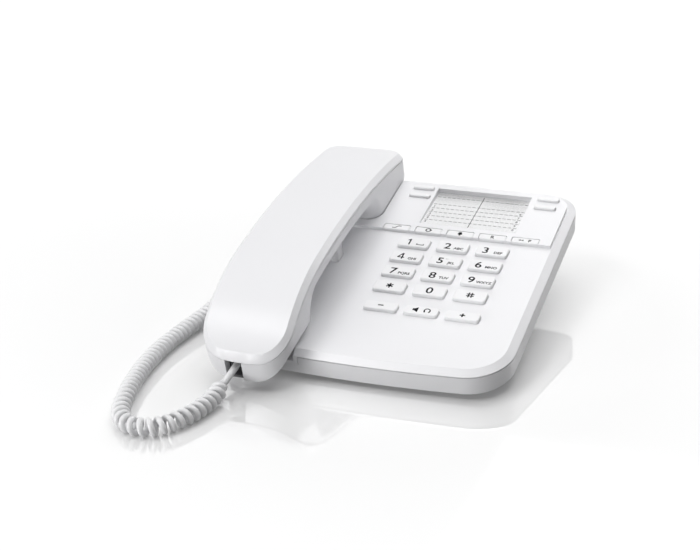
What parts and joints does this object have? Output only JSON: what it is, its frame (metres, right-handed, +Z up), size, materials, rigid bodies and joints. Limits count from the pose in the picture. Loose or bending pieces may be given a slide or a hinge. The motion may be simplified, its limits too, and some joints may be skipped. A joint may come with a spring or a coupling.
{
  "type": "corded landline phone",
  "caption": "White corded desk phone: sloped keypad base with a directory card, arched handset resting in two cups, and a curly cord between them.",
  "frame": {"origin": "on the desk under the middle of the base and handset together, cord left out", "axes": "+X to the phone's right, +Y to its back, +Z up"},
  "size_m": [0.2033, 0.2636, 0.0719],
  "materials": {
    "case": "satin moulded",
    "keys": "satin moulded",
    "silicone": "matt",
    "board": "lacquered",
    "steel": "plated",
    "paper": "printed paper",
    "window": "clear",
    "black_plastic": "matt",
    "rubber": "matt",
    "iron": "plain",
    "clear_plug": "clear",
    "cord": "satin"
  },
  "bodies": {
    "base": {"upper_case": "case", "lower_case": "case", "keypad_mat": "silicone", "main_board": "board", "case_screws": "steel", "board_screws": "steel", "directory_card": "paper", "card_window": "window", "hook_switch": "black_plastic", "rubber_feet": "rubber", "loudspeaker": "iron", "base_socket": "black_plastic", "base_plug": "clear_plug", "line_socket": "black_plastic", "curly_cord": "cord"},
    "handset": {"handset_cover": "case", "handset_body": "case", "receiver_capsule": "black_plastic", "microphone_capsule": "black_plastic", "ballast_weight": "iron", "handset_socket": "black_plastic", "handset_plug": "clear_plug"},
    "hook": {"hook_plunger": "keys"},
    "key_1": {"key_1": "keys"},
    "key_2": {"key_2": "keys"},
    "key_3": {"key_3": "keys"},
    "key_4": {"key_4": "keys"},
    "key_5": {"key_5": "keys"},
    "key_6": {"key_6": "keys"},
    "key_7": {"key_7": "keys"},
    "key_8": {"key_8": "keys"},
    "key_9": {"key_9": "keys"},
    "key_star": {"key_star": "keys"},
    "key_0": {"key_0": "keys"},
    "key_hash": {"key_hash": "keys"},
    "volume_down_key": {"volume_down_key": "keys"},
    "handsfree_key": {"handsfree_key": "keys"},
    "volume_up_key": {"volume_up_key": "keys"},
    "function_key_1": {"function_key_1": "keys"},
    "function_key_2": {"function_key_2": "keys"},
    "function_key_3": {"function_key_3": "keys"},
    "function_key_4": {"function_key_4": "keys"},
    "function_key_5": {"function_key_5": "keys"},
    "memory_key_1": {"memory_key_1": "keys"},
    "memory_key_2": {"memory_key_2": "keys"},
    "memory_key_3": {"memory_key_3": "keys"},
    "memory_key_4": {"memory_key_4": "keys"}
  },
  "joints": [
    {"name": "handset_lift", "type": "slide", "parent": "base", "child": "handset", "axis": [0, -0.2079, 0.9781], "range_m": [0, 0.06], "deforming": ["curly_cord"]},
    {"name": "hook_switch_travel", "type": "slide", "parent": "base", "child": "hook", "axis": [0, -0.2079, 0.9781], "range_m": [0, 0.004]},
    {"name": "key_1_press", "type": "slide", "parent": "base", "child": "key_1", "axis": [0, 0.2079, -0.9781], "range_m": [0, 0.0012], "stiffness_N_per_m": 400, "springref_m": -0.0008},
    {"name": "key_2_press", "type": "slide", "parent": "base", "child": "key_2", "axis": [0, 0.2079, -0.9781], "range_m": [0, 0.0012], "stiffness_N_per_m": 400, "springref_m": -0.0008},
    {"name": "key_3_press", "type": "slide", "parent": "base", "child": "key_3", "axis": [0, 0.2079, -0.9781], "range_m": [0, 0.0012], "stiffness_N_per_m": 400, "springref_m": -0.0008},
    {"name": "key_4_press", "type": "slide", "parent": "base", "child": "key_4", "axis": [0, 0.2079, -0.9781], "range_m": [0, 0.0012], "stiffness_N_per_m": 400, "springref_m": -0.0008},
    {"name": "key_5_press", "type": "slide", "parent": "base", "child": "key_5", "axis": [0, 0.2079, -0.9781], "range_m": [0, 0.0012], "stiffness_N_per_m": 400, "springref_m": -0.0008},
    {"name": "key_6_press", "type": "slide", "parent": "base", "child": "key_6", "axis": [0, 0.2079, -0.9781], "range_m": [0, 0.0012], "stiffness_N_per_m": 400, "springref_m": -0.0008},
    {"name": "key_7_press", "type": "slide", "parent": "base", "child": "key_7", "axis": [0, 0.2079, -0.9781], "range_m": [0, 0.0012], "stiffness_N_per_m": 400, "springref_m": -0.0008},
    {"name": "key_8_press", "type": "slide", "parent": "base", "child": "key_8", "axis": [0, 0.2079, -0.9781], "range_m": [0, 0.0012], "stiffness_N_per_m": 400, "springref_m": -0.0008},
    {"name": "key_9_press", "type": "slide", "parent": "base", "child": "key_9", "axis": [0, 0.2079, -0.9781], "range_m": [0, 0.0012], "stiffness_N_per_m": 400, "springref_m": -0.0008},
    {"name": "key_star_press", "type": "slide", "parent": "base", "child": "key_star", "axis": [0, 0.2079, -0.9781], "range_m": [0, 0.0012], "stiffness_N_per_m": 400, "springref_m": -0.0008},
    {"name": "key_0_press", "type": "slide", "parent": "base", "child": "key_0", "axis": [0, 0.2079, -0.9781], "range_m": [0, 0.0012], "stiffness_N_per_m": 400, "springref_m": -0.0008},
    {"name": "key_hash_press", "type": "slide", "parent": "base", "child": "key_hash", "axis": [0, 0.2079, -0.9781], "range_m": [0, 0.0012], "stiffness_N_per_m": 400, "springref_m": -0.0008},
    {"name": "volume_down_key_press", "type": "slide", "parent": "base", "child": "volume_down_key", "axis": [0, 0.2079, -0.9781], "range_m": [0, 0.0012], "stiffness_N_per_m": 400, "springref_m": -0.0008},
    {"name": "handsfree_key_press", "type": "slide", "parent": "base", "child": "handsfree_key", "axis": [0, 0.2079, -0.9781], "range_m": [0, 0.0012], "stiffness_N_per_m": 400, "springref_m": -0.0008},
    {"name": "volume_up_key_press", "type": "slide", "parent": "base", "child": "volume_up_key", "axis": [0, 0.2079, -0.9781], "range_m": [0, 0.0012], "stiffness_N_per_m": 400, "springref_m": -0.0008},
    {"name": "function_key_1_press", "type": "slide", "parent": "base", "child": "function_key_1", "axis": [0, 0.2079, -0.9781], "range_m": [0, 0.0012], "stiffness_N_per_m": 400, "springref_m": -0.0008},
    {"name": "function_key_2_press", "type": "slide", "parent": "base", "child": "function_key_2", "axis": [0, 0.2079, -0.9781], "range_m": [0, 0.0012], "stiffness_N_per_m": 400, "springref_m": -0.0008},
    {"name": "function_key_3_press", "type": "slide", "parent": "base", "child": "function_key_3", "axis": [0, 0.2079, -0.9781], "range_m": [0, 0.0012], "stiffness_N_per_m": 400, "springref_m": -0.0008},
    {"name": "function_key_4_press", "type": "slide", "parent": "base", "child": "function_key_4", "axis": [0, 0.2079, -0.9781], "range_m": [0, 0.0012], "stiffness_N_per_m": 400, "springref_m": -0.0008},
    {"name": "function_key_5_press", "type": "slide", "parent": "base", "child": "function_key_5", "axis": [0, 0.2079, -0.9781], "range_m": [0, 0.0012], "stiffness_N_per_m": 400, "springref_m": -0.0008},
    {"name": "memory_key_1_press", "type": "slide", "parent": "base", "child": "memory_key_1", "axis": [0, 0.2079, -0.9781], "range_m": [0, 0.0012], "stiffness_N_per_m": 400, "springref_m": -0.0008},
    {"name": "memory_key_2_press", "type": "slide", "parent": "base", "child": "memory_key_2", "axis": [0, 0.2079, -0.9781], "range_m": [0, 0.0012], "stiffness_N_per_m": 400, "springref_m": -0.0008},
    {"name": "memory_key_3_press", "type": "slide", "parent": "base", "child": "memory_key_3", "axis": [0, 0.2079, -0.9781], "range_m": [0, 0.0012], "stiffness_N_per_m": 400, "springref_m": -0.0008},
    {"name": "memory_key_4_press", "type": "slide", "parent": "base", "child": "memory_key_4", "axis": [0, 0.2079, -0.9781], "range_m": [0, 0.0012], "stiffness_N_per_m": 400, "springref_m": -0.0008}
  ],
  "couplings": [
    {"joint": "hook_switch_travel", "follows": "handset_lift", "ratio": 0.066666}
  ]
}
